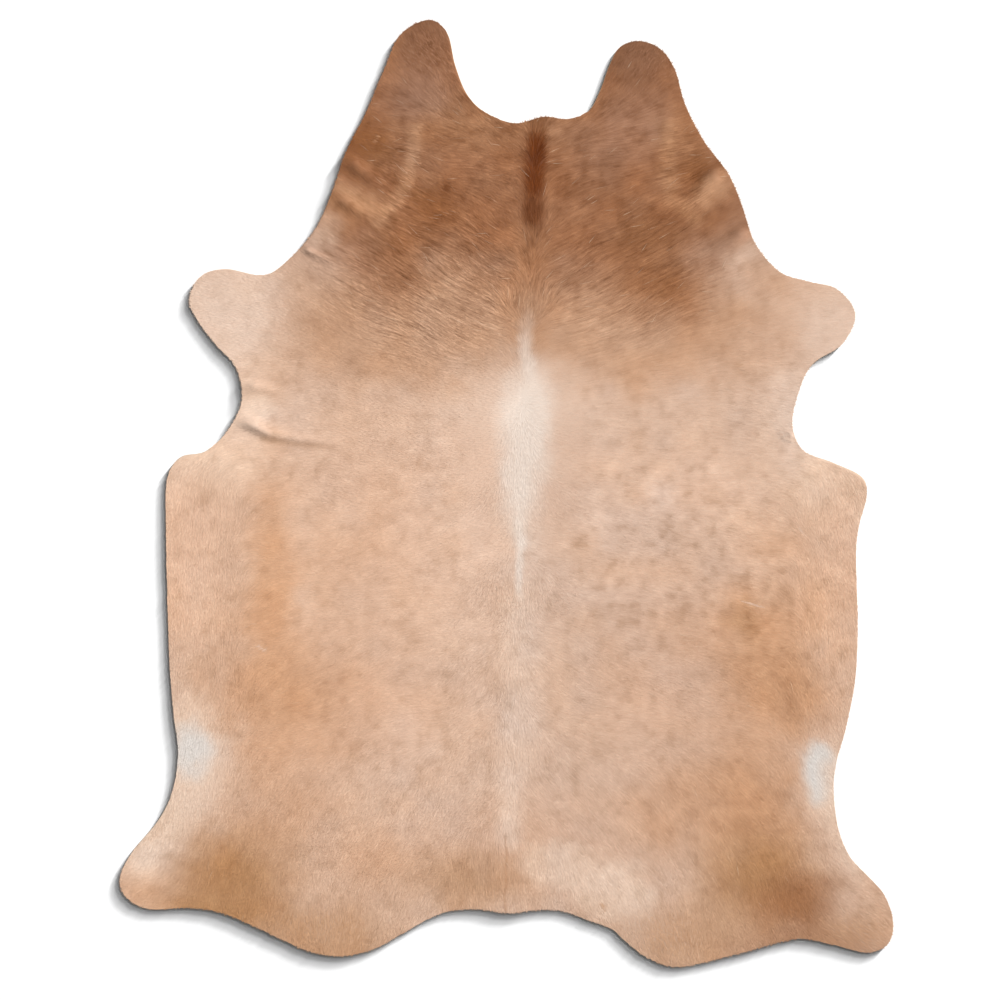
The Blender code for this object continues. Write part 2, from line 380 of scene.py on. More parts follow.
# How close points of the skin count as one, and a grid's row height beside its step
MERGE_WITHIN = 0.001 * MM
ROW_HEIGHT = 0.87


def display(red, green, blue):
    """A colour as a screen shows it, from 0 to 255, turned into linear values."""
    return tuple(((part / 255 + 0.055) / 1.055) ** 2.4 for part in (red, green, blue))


def ease(value, low, high):
    """0 below low, 1 above high and a smooth step between."""
    share = np.clip((value - low) / (high - low), 0, 1)
    return share * share * (3 - 2 * share)


def dying(share):
    """1 up to a share of 0, then a quarter wave down to 0 at a share of 1."""
    return np.cos(np.clip(share, 0, 1) * math.pi / 2)


def cloud(points, cell, seed):
    """Soft random values from -1 to 1 that change over about one cell."""
    cells = 2 * math.ceil(CLOUD_REACH / cell) + 2
    values = np.random.default_rng(seed).uniform(-1, 1, (cells, cells))
    place = points / cell + cells / 2
    corner = np.floor(place).astype(int)
    column, row = corner.T
    across, along = ease(place - corner, 0, 1).T
    near = values[column, row] * (1 - across) + values[column + 1, row] * across
    far = values[column, row + 1] * (1 - across) + values[column + 1, row + 1] * across
    return near * (1 - along) + far * along


def billow(points, cell, seed):
    """Cloud with finer clouds on it, for ragged shapes."""
    coarse = cloud(points, cell, seed)
    return coarse + 0.5 * cloud(points, cell / 2, seed) + 0.3 * cloud(points, cell / 4, seed)


def near_line(points, line):
    """Each point's distance to a line of straight pieces, and how far along it that is, from 0 to 1."""
    line = np.array(line, float)
    runs = np.diff(line, axis=0)
    lengths = np.linalg.norm(runs, axis=1)
    best = np.full(len(points), np.inf)
    share = np.zeros(len(points))
    travelled = 0.0
    for start, run, length in zip(line, runs, lengths):
        t = np.clip((points - start) @ run / length**2, 0, 1)
        distance = np.linalg.norm(points - start - t[:, None] * run, axis=1)
        closer = distance < best
        best = np.where(closer, distance, best)
        share = np.where(closer, (travelled + t * length) / lengths.sum(), share)
        travelled += length
    return best, share


def oval_distance(points, middle, half_sizes, turn):
    """How far points lie from an oval's middle, as a share of its half size that way."""
    angle = math.radians(turn)
    along = np.array((math.cos(angle), math.sin(angle)))
    across = np.array((-math.sin(angle), math.cos(angle)))
    offset = points - np.array(middle, float)
    return np.hypot(offset @ along / half_sizes[0], offset @ across / half_sizes[1])


def sheet_lift(points, sizes):
    """How high the skin's underside lies above the floor at points seen from above."""
    lift = np.zeros(len(points))
    for _, line, height, half_width in FOLDS:
        distance, share = near_line(points / MM, line)
        rise = EDGE_HEIGHT + (1 - EDGE_HEIGHT) * ease(share, FADE_FROM, FOLD_FULL_AT)
        fade = dying(share) ** 2 * rise
        lift = np.maximum(lift, height * MM * fade * dying(distance / half_width) ** 2)
    for _, line, height, half_width in ROLLS:
        distance, share = near_line(points / MM, line)
        fade = dying(2 * share - 1) * ease(share, FADE_FROM, ROLL_FULL_AT)
        lift += height * MM * fade * dying(distance / half_width) ** 2
    swell = 0.5 + 0.5 * cloud(points, sizes.swell_width, SEED_SWELL)
    return lift + sizes.swell_height * swell


def cut_edge(step):
    """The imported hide's cut edge, its points a step apart, anticlockwise as seen from above."""
    packed = bmesh.new()
    packed.from_mesh(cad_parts[HIDE_NODE].data)
    bmesh.ops.remove_doubles(packed, verts=packed.verts, dist=10 * MERGE_WITHIN)
    under = {face for face in packed.faces if face.normal.z < -0.5}
    rim = [edge for edge in packed.edges if len(under.intersection(edge.link_faces)) == 1]
    after = {}
    for edge in rim:
        face = under.intersection(edge.link_faces).pop()
        loop = next(corner for corner in face.loops if corner.edge == edge)
        after[loop.link_loop_next.vert] = loop.vert
    at = next(iter(after))
    walk = []
    while len(walk) < len(after):
        walk.append(at.co.xy[:])
        at = after[at]
    packed.free()
    return even_loop(np.array(walk), step)


def even_loop(points, step):
    """The points of a smooth closed curve through the given ones, a step apart."""
    per_span = 8
    before, start, end, after = (np.roll(points, shift, axis=0) for shift in (1, 0, -1, -2))
    t = np.linspace(0, 1, per_span, endpoint=False)[:, None, None]
    bend = (2 * before - 5 * start + 4 * end - after) * t**2
    twist = (3 * start - before - 3 * end + after) * t**3
    curve = (2 * start + (end - before) * t + bend + twist) / 2
    curve = curve.transpose(1, 0, 2).reshape(-1, 2)
    curve = np.vstack([curve, curve[:1]])
    travelled = np.concatenate([[0.0], np.cumsum(np.linalg.norm(np.diff(curve, axis=0), axis=1))])
    count = round(travelled[-1] / step)
    marks = np.arange(count) * travelled[-1] / count
    return np.column_stack([np.interp(marks, travelled, curve[:, axis]) for axis in range(2)])


def outward(loop):
    """The way out of an anticlockwise loop at each of its points, as unit vectors."""
    run = np.roll(loop, -1, axis=0) - np.roll(loop, 1, axis=0)
    run /= np.linalg.norm(run, axis=1)[:, None]
    return np.column_stack([run[:, 1], -run[:, 0]])


def nearest(points, targets):
    """For each point, which target is nearest and how far it is."""
    tree = KDTree(len(targets))
    for i, target in enumerate(targets):
        tree.insert((*target, 0.0), i)
    tree.balance()
    found = [tree.find((*point, 0.0))[1:] for point in points]
    return np.array([i for i, _ in found]), np.array([distance for _, distance in found])


def staggered_grid(step):
    """A grid of points over the hide's box, each row half a step from the last."""
    rows = math.ceil(CAD_BOX[1].y / step)
    columns = math.ceil(CAD_BOX[1].x / step)
    row, column = np.mgrid[-rows : rows + 1, -columns : columns + 1]
    return np.column_stack([(column + 0.5 * (row % 2)).ravel(), row.ravel() * ROW_HEIGHT]) * step


def near_folds(points):
    """Whether points lie on a fold or a roll of the skin."""
    on_fold = np.zeros(len(points), bool)
    for _, line, _, half_width in FOLDS + ROLLS:
        on_fold |= near_line(points / MM, line)[0] < half_width
    return on_fold


def skin_plan(sizes):
    """The skin from above: its points, the edge's first, its triangles and how many the edge has."""
    inside_only = 1
    margin = 0.6 * sizes.edge_step
    loop = cut_edge(sizes.edge_step)
    loop -= outward(loop) * sizes.edge_inset
    coarse = staggered_grid(sizes.spacing)
    coarse = coarse[~near_folds(coarse)]
    fine = staggered_grid(sizes.fold_spacing)
    fine = fine[near_folds(fine)]
    points = np.vstack([coarse, fine])
    index, distance = nearest(points, loop)
    inward = np.einsum("ij,ij->i", points - loop[index], outward(loop)[index]) < 0
    points = points[inward & (distance > margin)]
    count = len(loop)
    corners = [Vector(point) for point in np.vstack([loop, points])]
    edges = [(i, (i + 1) % count) for i in range(count)]
    region = [list(range(count))]
    plan, _, triangles, *_ = delaunay_2d_cdt(corners, edges, region, inside_only, MERGE_WITHIN)
    if len(plan) != len(corners):
        raise RuntimeError("some points of the skin fall together")
    return np.array(corners), np.array(triangles), count


def mesh_of(name, corners, triangles):
    """A mesh made straight from arrays of corner points and of triangles."""
    mesh = bpy.data.meshes.new(name)
    mesh.vertices.add(len(corners))
    mesh.vertices.foreach_set("co", corners.astype(np.float32).ravel())
    mesh.loops.add(triangles.size)
    mesh.loops.foreach_set("vertex_index", triangles.astype(np.int32).ravel())
    mesh.polygons.add(len(triangles))
    mesh.polygons.foreach_set("loop_start", np.arange(0, triangles.size, 3, dtype=np.int32))
    mesh.update(calc_edges=True)
    return mesh


def keep_on_points(mesh, name, kind, part, values):
    """Keeps a value or colour for each point of a mesh, for its material to read."""
    layer = mesh.attributes.new(name, kind, "POINT")
    layer.data.foreach_set(part, values.astype(np.float32).ravel())


def hair_lie(points):
    """The way the hair points at points seen from above, as unit vectors."""
    place = points / MM
    place[:, 0] -= np.interp(place[:, 1], *zip(*SPINE))
    lie = np.zeros((len(points), 2))
    for _, across, along, degrees in GUIDES:
        angle = math.radians(degrees)
        for side in (1, -1):
            distance = np.hypot(place[:, 0] - side * across, place[:, 1] - along)
            weight = 1 / (distance**2 + GUIDE_SOFTNESS**2) ** 1.5
            lie += weight[:, None] * (side * math.cos(angle), math.sin(angle))
    return turned(lie, math.radians(LIE_TURN) * cloud(points, LIE_CLOUD, SEED_LIE))


def turned(lie, turn):
    """Directions turned by angles, as unit vectors."""
    x, y = lie.T
    across = x * np.cos(turn) - y * np.sin(turn)
    along = x * np.sin(turn) + y * np.cos(turn)
    return np.column_stack([across, along]) / np.maximum(np.hypot(across, along), 1e-9)[:, None]


def soft_oval(points, middle, half_sizes):
    """1 in the heart of an oval given in millimetres, fading to 0 at its rim."""
    return 1 - ease(oval_distance(points / MM, middle, half_sizes, 0), 0.4, 1.0)


def strongest(points, rows, column=3):
    """How strong the strongest oval of a table is at each point, by one column."""
    return np.max([row[column] * soft_oval(points, *row[1:3]) for row in rows], axis=0)


def coat_colour(points, colours):
    """The coat's colour at points: its markings painted one over the other, then painted shade in the
    troughs.
    """
    seeds = (SEED_WANDER, SEED_WANDER + SECOND_SEED)
    wander = np.column_stack([billow(points, WANDER_CLOUD, seed) for seed in seeds])
    place = (points + OVAL_WANDER * wander) / MM
    coat = np.tile(np.array(colours.rose_beige), (len(points), 1))
    for _, tone, middle, half_sizes, turn, softness, strength in OVALS:
        mask = strength * (1 - ease(oval_distance(place, middle, half_sizes, turn), 1 - softness, 1))
        coat += mask[:, None] * (np.array(getattr(colours, tone)) - coat)
    place = (points + LINE_WANDER * wander) / MM
    for _, tone, line, half_width, softness, strength in LINES:
        distance, _ = near_line(place, line)
        mask = strength * (1 - ease(distance / half_width, 1 - softness, 1))
        coat += mask[:, None] * (np.array(getattr(colours, tone)) - coat)
    # Painted shade: darkens the coat along the troughs beside the folds
    for _, line, half_width, darker in PAINTED_SHADE_TROUGHS:
        distance, share = near_line(points / MM, line)
        mask = darker * dying(2 * share - 1) * (1 - ease(distance / half_width, 0, 1))
        coat *= 1 - mask[:, None] * DARKENING
    return coat


def dappled(points, coat, colours):
    """The coat with small darker and lighter blotches all over it, here warmer and there cooler."""
    blotch = billow(points, DAPPLE_CLOUD, SEED_DAPPLE)
    bloom = billow(points, BLOOM_CLOUD, SEED_BLOOM)
    strength = np.ones(len(points))
    for _, middle, half_sizes, more in BLOTCHED:
        strength += more * soft_oval(points, middle, half_sizes)
    strength *= colours.dapple * (1 - strongest(points, EVEN))
    dark = strength * (ease(blotch, 0.0, 1.4) + 0.5 * ease(bloom, 0.2, 1.4))
    light = strength * (0.7 * ease(-blotch, 0.0, 1.4) + 0.4 * ease(-bloom, 0.2, 1.4))
    warm = strength * cloud(points, WARMTH_CLOUD, SEED_WARMTH)
    coat = coat * (1 - dark[:, None] * DARKENING) * (1 + light[:, None] * LIGHTENING)
    return coat * (1 + warm[:, None] * WARMING)


def streaks(points, lie):
    """Random values, about 1 either way, drawn out along the hair as it lies."""
    cells = 2 * math.ceil(CLOUD_REACH / STREAK_WIDTH)
    values = np.random.default_rng(SEED_STREAK).standard_normal((cells, cells))
    steps = np.linspace(-0.5, 0.5, round(STREAK_LENGTH / STREAK_WIDTH))
    total = np.zeros(len(points))
    for step in steps:
        place = points + lie * step * STREAK_LENGTH
        cell = np.floor(place / STREAK_WIDTH).astype(int) + cells // 2
        total += values[cell[:, 0], cell[:, 1]]
    return total / math.sqrt(len(steps))


class Wire:
    """A socket of a node tree. Sums on it add Math nodes, so shader maths reads as maths."""

    def __init__(self, tree, socket=None):
        self.tree = tree
        self.socket = socket

    def node(self, kind, settings=(), sockets=(), output=0):
        """Any node: its type, its settings, then the values or links of its sockets."""
        made = self.tree.nodes.new(kind)
        for name, value in dict(settings).items():
            setattr(made, name, value)
        for name, value in dict(sockets).items():
            if isinstance(value, Wire):
                self.tree.links.new(value.socket, made.inputs[name])
            else:
                made.inputs[name].default_value = value
        return Wire(self.tree, made.outputs[output])

    def maths(self, operation, first, second):
        return self.node("ShaderNodeMath", {"operation": operation}, {0: first, 1: second})

    def __add__(self, other):
        return self.maths("ADD", self, other)

    def __radd__(self, other):
        return self.maths("ADD", other, self)

    def __sub__(self, other):
        return self.maths("SUBTRACT", self, other)

    def __rsub__(self, other):
        return self.maths("SUBTRACT", other, self)

    def __mul__(self, other):
        return self.maths("MULTIPLY", self, other)

    def __rmul__(self, other):
        return self.maths("MULTIPLY", other, self)

    def scaled(self, amount):
        """This colour or vector times a value."""
        return self.node("ShaderNodeVectorMath", {"operation": "SCALE"}, {0: self, "Scale": amount})

    def noise(self, size, detail=2.0, stretch=(1, 1, 1)):
        """Noise from 0 to 1 whose features are about one size wide at this place."""
        place = self.node("ShaderNodeVectorMath", {"operation": "MULTIPLY"}, {0: self, 1: stretch})
        sockets = {"Vector": place, "Scale": 1 / size, "Detail": detail}
        return self.node("ShaderNodeTexNoise", (), sockets)

    def bump(self, height, depth):
        """A normal that follows a height from 0 to 1, this deep."""
        return self.node("ShaderNodeBump", (), {"Height": height, "Distance": depth})


def new_material(name, roughness, specular):
    """A material, a wire to start its nodes from and its shader."""
    material = bpy.data.materials.new(name)
    material.use_nodes = True
    shader = material.node_tree.nodes["Principled BSDF"]
    shader.inputs["Roughness"].default_value = roughness
    shader.inputs["Specular IOR Level"].default_value = specular
    return material, Wire(material.node_tree), shader


def feed(shader, name, wire):
    """Links a wire to one of the shader's sockets."""
    wire.tree.links.new(wire.socket, shader.inputs[name])


def hair_material():
    """Short glossy hair in the coat's colour, darker at its root, partly as painted shade, and paler at
    its tip.
    """
    material, start, shader = new_material("cow_hair", 0.55, 0.06)
    coat = start.node("ShaderNodeAttribute", {"attribute_name": "coat"})
    along = start.node("ShaderNodeAttribute", {"attribute_name": "along"}, output=2)
    place = start.node("ShaderNodeTexCoord", output=3)
    strands = place.noise(0.0012)
    patchy = place.noise(0.035)
    # Painted shade in part: the roots are darkened where the locks over them would shade them
    feed(shader, "Base Color", coat.scaled((0.94 + 0.08 * along) * (0.95 + 0.10 * strands)))
    feed(shader, "Roughness", 0.50 + 0.12 * patchy + 0.08 * strands)
    return material


def skin_material():
    """The grain side of the leather between the roots of the hair."""
    material, start, shader = new_material("leather_grain", 0.75, 0.3)
    coat = start.node("ShaderNodeAttribute", {"attribute_name": "coat"})
    place = start.node("ShaderNodeTexCoord", output=3)
    pores = place.noise(0.0016, 4.0)
    mottle = place.noise(0.02)
    feed(shader, "Base Color", coat.scaled((0.88 + 0.08 * mottle) * (0.94 + 0.12 * pores)))
    feed(shader, "Roughness", 0.68 + 0.16 * pores)
    feed(shader, "Normal", start.bump(pores, 0.0003))
    return material


def suede_material(colours):
    """The napped flesh side, and the edge where the leather is cut."""
    material, start, shader = new_material("suede_back", 0.92, 0.15)
    place = start.node("ShaderNodeTexCoord", output=3)
    nap = place.noise(0.0009, 5.0)
    clouds = place.noise(0.09, 3.0)
    veins = place.noise(0.02, 2.0, (1.0, 0.25, 1.0))
    pale = (*colours.suede_pale, 1.0)
    deep = (*colours.suede_deep, 1.0)
    tone = start.node("ShaderNodeMix", {"data_type": "RGBA"}, {0: clouds, 6: pale, 7: deep}, 2)
    feed(shader, "Base Color", tone.scaled((0.84 + 0.24 * nap) * (0.92 + 0.14 * veins)))
    feed(shader, "Roughness", 0.84 + 0.14 * nap)
    feed(shader, "Normal", start.bump(nap, 0.0005))
    shader.inputs["Sheen Weight"].default_value = 0.25
    return material


def skin_mesh(sizes, colours):
    """The leather as one closed sheet with a rounded cut edge."""
    plan, triangles, edge_count = skin_plan(sizes)
    lift = sheet_lift(plan, sizes)
    top = np.column_stack([plan, lift + sizes.leather])
    bottom = np.column_stack([plan, lift])
    loop = plan[:edge_count]
    out = outward(loop)
    rows = 4
    rim = []
    for row in range(1, rows):
        turn = math.pi * row / rows
        bulge = loop + out * sizes.leather / 2 * math.sin(turn)
        height = lift[:edge_count] + sizes.leather * (1 - math.cos(turn)) / 2
        rim.append(np.column_stack([bulge, height]))
    corners = np.vstack([top, bottom, *rim])
    count = len(plan)
    here = np.arange(edge_count)
    levels = [count + here] + [2 * count + row * edge_count + here for row in range(rows - 1)] + [here]
    walls = []
    for low, high in zip(levels, levels[1:]):
        walls.append(np.column_stack([low, np.roll(low, -1), np.roll(high, -1)]))
        walls.append(np.column_stack([low, np.roll(high, -1), high]))
    faces = np.vstack([triangles, triangles[:, ::-1] + count, *walls])
    mesh = mesh_of(SKIN_NAME, corners, faces)
    material_index = np.ones(len(faces), np.int32)
    material_index[: len(triangles)] = 0
    mesh.polygons.foreach_set("material_index", material_index)
    coat = dappled(plan, coat_colour(plan, colours), colours)
    coat = np.vstack([coat, coat, *[coat[:edge_count]] * (rows - 1)])
    keep_on_points(mesh, "coat", "FLOAT_COLOR", "color", np.column_stack([coat, np.ones(len(coat))]))
    lay_out_map(mesh, faces, corners, len(triangles), edge_count)
    mesh.polygons.foreach_set("use_smooth", np.ones(len(faces), bool))
    mesh.update()
    return mesh


def lay_out_map(mesh, faces, corners, top_count, edge_count):
    """A map of the skin: the hair side large, the flesh side small and the edge as a strip."""
    half_box = (0.905, 1.105)
    large = 0.44
    small, small_corner = 0.09, (0.82, 0.01)
    strip_foot, strip_length = 0.25, 0.73
    strip_side, strip_width = 0.83, 0.04
    plan = corners[faces][:, :, :2]
    uv = np.empty_like(plan)
    uv[:top_count] = (plan[:top_count] + half_box) * large
    under = slice(top_count, 2 * top_count)
    uv[under] = (plan[under] * (-1, 1) + half_box) * small + small_corner
    wall = np.arange(2 * top_count, len(faces))
    strip, step = np.divmod(wall - 2 * top_count, edge_count)
    low = strip_foot + strip_length * step / edge_count
    high = strip_foot + strip_length * (step + 1) / edge_count
    left = strip_side + strip_width * (strip // 2)
    right = left + strip_width
    first = (strip % 2 == 0)[:, None, None]
    lower_half = np.stack([(left, low), (left, high), (right, high)]).transpose(2, 0, 1)
    upper_half = np.stack([(left, low), (right, high), (right, low)]).transpose(2, 0, 1)
    uv[wall] = np.where(first, lower_half, upper_half)
    layer = mesh.uv_layers.new(name="OFBake")
    layer.uv.foreach_set("vector", uv.astype(np.float32).ravel())


def scatter(mesh, count, rng):
    """Points spread evenly over the hair side of the skin, seen from above."""
    corners = np.empty(len(mesh.vertices) * 3, np.float32)
    mesh.vertices.foreach_get("co", corners)
    faces = np.empty(len(mesh.polygons) * 3, np.int32)
    mesh.polygons.foreach_get("vertices", faces)
    slots = np.empty(len(mesh.polygons), np.int32)
    mesh.polygons.foreach_get("material_index", slots)
    plan = corners.reshape(-1, 3)[:, :2].astype(float)
    a, b, c = (plan[faces.reshape(-1, 3)[slots == 0][:, k]] for k in range(3))
    area = np.cumsum(np.abs(np.cross(b - a, c - a)))
    marks = (np.arange(count) + rng.random(count)) / count * area[-1]
    chosen = np.minimum(np.searchsorted(area, marks), len(area) - 1)
    u, v = rng.random((2, count))
    over = u + v > 1
    u, v = np.where(over, 1 - u, u), np.where(over, 1 - v, v)
    return a[chosen] + u[:, None] * (b - a)[chosen] + v[:, None] * (c - a)[chosen]


def trimmed(roots, lie, length, loop, over_edge):
    """Lengths of locks, cut where they would reach too far over the hide's edge."""
    near = nearest(roots, loop)[1] < length.max()
    tips = (roots + lie * length[:, None])[near]
    index, _ = nearest(tips, loop)
    out = outward(loop)[index]
    beyond = np.einsum("ij,ij->i", tips - loop[index], out) - over_edge[near]
    pace = np.maximum(np.einsum("ij,ij->i", lie[near], out), 0.2)
    kept = np.where(beyond > 0, length[near] - beyond / pace, length[near])
    length = length.copy()
    length[near] = np.maximum(kept, 0.3 * length[near])
    return length


def grown_locks(roots, sizes, colours, rng):
    """How locks at these roots lie, how long they are, which are stray, and their colours."""
    count = len(roots)
    rough = strongest(roots, RUFFLES)
    longer = strongest(roots, RUFFLES, column=4)
    smooth_lie = hair_lie(roots)
    stray = rng.random(count) < sizes.strays * (0.15 + rough)
    unrest = np.radians(np.where(stray, STRAY_TURN, LOCK_TURN + ROUGH_TURN * rough))
    lie = turned(smooth_lie, unrest * rng.standard_normal(count))
    length = sizes.lock_length * (1 + longer) * rng.uniform(*LOCK_LENGTHS, count)
    length *= np.where(stray, STRAY_LENGTH, 1)
    over_edge = sizes.over_edge * rng.random(count)
    length = trimmed(roots, lie, length, cut_edge(sizes.edge_step), over_edge)
    middles = roots + lie * length[:, None] / 2
    coat = dappled(middles, coat_colour(middles, colours), colours)
    strength = colours.streak * (1 + 4 * rough) * (1 - strongest(middles, EVEN))
    shade = 1 + strength * (streaks(middles, smooth_lie) + 0.5 * rng.standard_normal(count))
    coat = coat * shade[:, None] ** SHADING
    paler = (stray * rng.uniform(*STRAY_PALENESS, count))[:, None]
    coat += paler * (np.array(colours.stray_hair) - coat)
    return lie, length, stray, np.clip(coat, DARKEST, PALEST)


def lock_arrays(roots, lie, length, stray, sizes, rng):
    """Folded blades lying on the skin: corners, triangles and each corner's share along its lock."""
    count = len(roots)
    tips = roots + lie * length[:, None]
    rough = strongest(roots, RUFFLES)
    raised = rng.uniform(0.4, 1.0, count) * sizes.tip_lift * (1 + 0.8 * rough)
    raised += stray * sizes.stray_lift
    root_height = sheet_lift(roots, sizes) + sizes.leather - ROOT_DEPTH + stray * sizes.stray_lift
    tip_height = sheet_lift(tips, sizes) + sizes.leather + raised
    across = np.column_stack([lie[:, 1], -lie[:, 0]])
    half = sizes.lock_width / 2 * rng.uniform(0.75, 1.25, count)
    widest = 0.35
    belly = roots + lie * (widest * length)[:, None]
    belly_height = root_height + widest * (tip_height - root_height) - sizes.lock_ridge
    roll = rng.uniform(-1, 1, count) * sizes.lock_ridge
    root = np.column_stack([roots, root_height])
    right = np.column_stack([belly + across * half[:, None], belly_height + roll])
    left = np.column_stack([belly - across * half[:, None], belly_height - roll])
    tip = np.column_stack([tips, tip_height])
    corners = np.stack([root, right, left, tip], axis=1).reshape(-1, 3)
    first = np.arange(count)[:, None] * 4
    triangles = np.stack([first + (0, 1, 3), first + (0, 3, 2)], axis=1).reshape(-1, 3)
    along = np.tile((0.0, widest, widest, 1.0), count)
    return corners, triangles, along


def measure(name, what, metres):
    """A length for a property group."""
    return FloatProperty(name=name, description=what, default=metres, unit="LENGTH")


def setting(name, what, default):
    """A strength or share for a property group."""
    return FloatProperty(name=name, description=what, default=default, min=0)


def paint(name, where, red, green, blue):
    """A colour for a property group, given as a screen shows it."""
    shown = display(red, green, blue)
    return FloatVectorProperty(
        name=name, description=where, default=shown, min=0, max=1, size=3, subtype="COLOR")


class HideSizes(bpy.types.PropertyGroup):
    """Sizes of the skin and of its hair."""

    leather: measure("Leather", "Thickness of the leather", 0.0018)
    spacing: measure("Spacing", "Distance between the skin's points", 0.011)
    fold_spacing: measure("Fold spacing", "Distance between them on the folds", 0.004)
    edge_step: measure("Edge step", "Distance between them along the cut edge", 0.005)
    edge_inset: measure("Edge inset", "How far the leather stays inside the hair's edge", 0.0008)
    swell_height: measure("Swell height", "How far the skin swells off the floor", 0.0010)
    swell_width: measure("Swell width", "About how wide a swell is", 0.14)
    locks: IntProperty(
        name="Locks", description="How many locks of hair lie on the skin", default=410000)
    lock_length: measure("Lock length", "Length of a smooth lying lock", 0.016)
    lock_width: measure("Lock width", "Width of a lock at its widest", 0.0015)
    lock_ridge: measure("Lock ridge", "Height of the fold along a lock", 0.00008)
    tip_lift: measure("Tip lift", "How far the tips stand off the skin", 0.0009)
    strays: setting("Strays", "Share of locks that lie astray where the coat is rough", 0.004)
    stray_lift: measure("Stray lift", "How far stray locks lie above the rest", 0.0006)
    over_edge: measure("Over the edge", "How far hair reaches over the cut edge", 0.001)


class HideColours(bpy.types.PropertyGroup):
    """Colours of the coat and of the leather."""

    rose_beige: paint("Rose beige", "Most of the body", 219, 185, 161)
    withers_cream: paint("Withers cream", "Withers and spine", 239, 222, 208)
    leg_cream: paint("Leg cream", "Forelegs and armpits", 229, 200, 179)
    # Also painted on the left elbow fold as highlight
    flank_cream: paint("Flank cream", "Round the white flank patches", 234, 206, 184)
    flank_white: paint("Flank white", "White flank patches", 226, 218, 211)
    peach: paint("Peach", "Edges of the belly", 231, 191, 162)
    tan: paint("Tan", "Tips of the hind legs", 209, 164, 130)
    golden_brown: paint("Golden brown", "Hind legs", 188, 139, 97)
    hind_brown: paint("Hind brown", "Right hind leg", 166, 113, 74)
    rump_tan: paint("Rump tan", "Rump lobes", 198, 153, 117)
    jowl_tan: paint("Jowl tan", "Pale parts of the neck", 184, 134, 97)
    # Also painted on the jowl folds as highlight
    jowl_pale_and_highlight: paint("Jowl pale", "Palest parts of the jowls", 200, 152, 116)
    neck_brown: paint("Neck brown", "Neck", 163, 112, 79)
    flap_pink: paint("Flap pink", "Roots of the neck flaps", 167, 124, 99)
    cool_brown: paint("Cool brown", "Tips of the neck flaps", 141, 98, 72)
    # Also painted on the right jowl's lower fold as shade
    cheek_brown: paint("Cheek brown", "Cheeks", 147, 94, 57)
    orange_tan: paint("Orange tan", "Fan under the crest stripe", 190, 136, 98)
    crest_tan: paint("Crest tan", "Ends of the crest stripe", 128, 78, 45)
    stripe_brown: paint("Stripe brown", "Crest stripe", 106, 50, 14)
    rib_beige: paint("Rib beige", "Ribs", 230, 196, 173)
    loin_beige: paint("Loin beige", "Loins and rump", 216, 178, 152)
    belly_cream: paint("Belly cream", "Belly corners", 238, 206, 180)
    peach_tan: paint("Peach tan", "Sides of the belly", 224, 181, 149)
    flank_tan: paint("Flank tan", "Flanks and thighs", 207, 157, 119)
    chest_tan: paint("Chest tan", "Chest, from foreleg to foreleg", 200, 156, 124)
    shoulder_brown: paint("Shoulder brown", "Shoulders", 160, 105, 66)
    stray_hair: paint("Stray hair", "Pale stray hairs", 240, 214, 186)
    suede_pale: paint("Suede pale", "Flesh side, pale", 216, 196, 170)
    suede_deep: paint("Suede deep", "Flesh side, deep", 190, 164, 134)
    dapple: setting("Dapple", "Strength of the blotches in the coat", 0.15)
    streak: setting("Streak", "Strength of the streaks along the hair", 0.03)


class StudioSizes(bpy.types.PropertyGroup):
    """The studio's camera and lights."""

    frame_width: measure("Frame width", "Width of floor that the camera sees", 2.323)
    lens: setting("Lens", "Focal length in millimetres", 85.0)
    aim: FloatVectorProperty(
        name="Aim", description="Point under the camera", default=(-0.0151, -0.0156, 0.003),
        size=3, unit="LENGTH")
    sky: setting("Sky", "Even light from all round", 0.12)
    floor_lamps: setting("Floor lamps", "Light on the floor", 3.35)
    key_lamp: setting("Key lamp", "Light on the hide from the right", 4.45)
    fill_lamp: setting("Fill lamp", "Light on the hide from above", 0.95)


class COWHIDE_OT_skin(bpy.types.Operator):
    """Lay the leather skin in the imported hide's place"""

    bl_idname = "cowhide.skin"
    bl_label = "Lay the skin"

    def execute(self, context):
        sizes = context.scene.cowhide_sizes
        colours = context.scene.cowhide_colours
        skin = bpy.data.objects.new(SKIN_NAME, skin_mesh(sizes, colours))
        context.scene.collection.objects.link(skin)
        skin.data.materials.append(skin_material())
        skin.data.materials.append(suede_material(colours))
        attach(skin, BODY)
        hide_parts(HIDE_NODE)
        return {"FINISHED"}


class COWHIDE_OT_hair(bpy.types.Operator):
    """Cover the skin with locks of hair, from the neck to the rump"""

    bl_idname = "cowhide.hair"
    bl_label = "Lay the hair"

    def execute(self, context):
        sizes = context.scene.cowhide_sizes
        colours = context.scene.cowhide_colours
        skin = bpy.data.objects.get(SKIN_NAME)
        if skin is None:
            raise RuntimeError("lay the skin first")
        rng = np.random.default_rng(SEED_LOCKS)
        roots = scatter(skin.data, sizes.locks, rng)
        roots = roots[np.argsort(-roots[:, 1])]
        lie, length, stray, coat = grown_locks(roots, sizes, colours, rng)
        material = hair_material()
        names = ("neck", "shoulders", "ribs", "loin", "rump")
        for name, part in zip(names, np.array_split(np.arange(sizes.locks), len(names))):
            blades = lock_arrays(roots[part], lie[part], length[part], stray[part], sizes, rng)
            corners, triangles, along = blades
            mesh = mesh_of("hair_" + name, corners, triangles)
            tint = np.repeat(np.column_stack([coat[part], np.ones(len(part))]), 4, axis=0)
            keep_on_points(mesh, "coat", "FLOAT_COLOR", "color", tint)
            keep_on_points(mesh, "along", "FLOAT", "value", along)
            mesh.materials.append(material)
            hair = bpy.data.objects.new("hair_" + name, mesh)
            context.scene.collection.objects.link(hair)
            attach(hair, BODY)
        return {"FINISHED"}


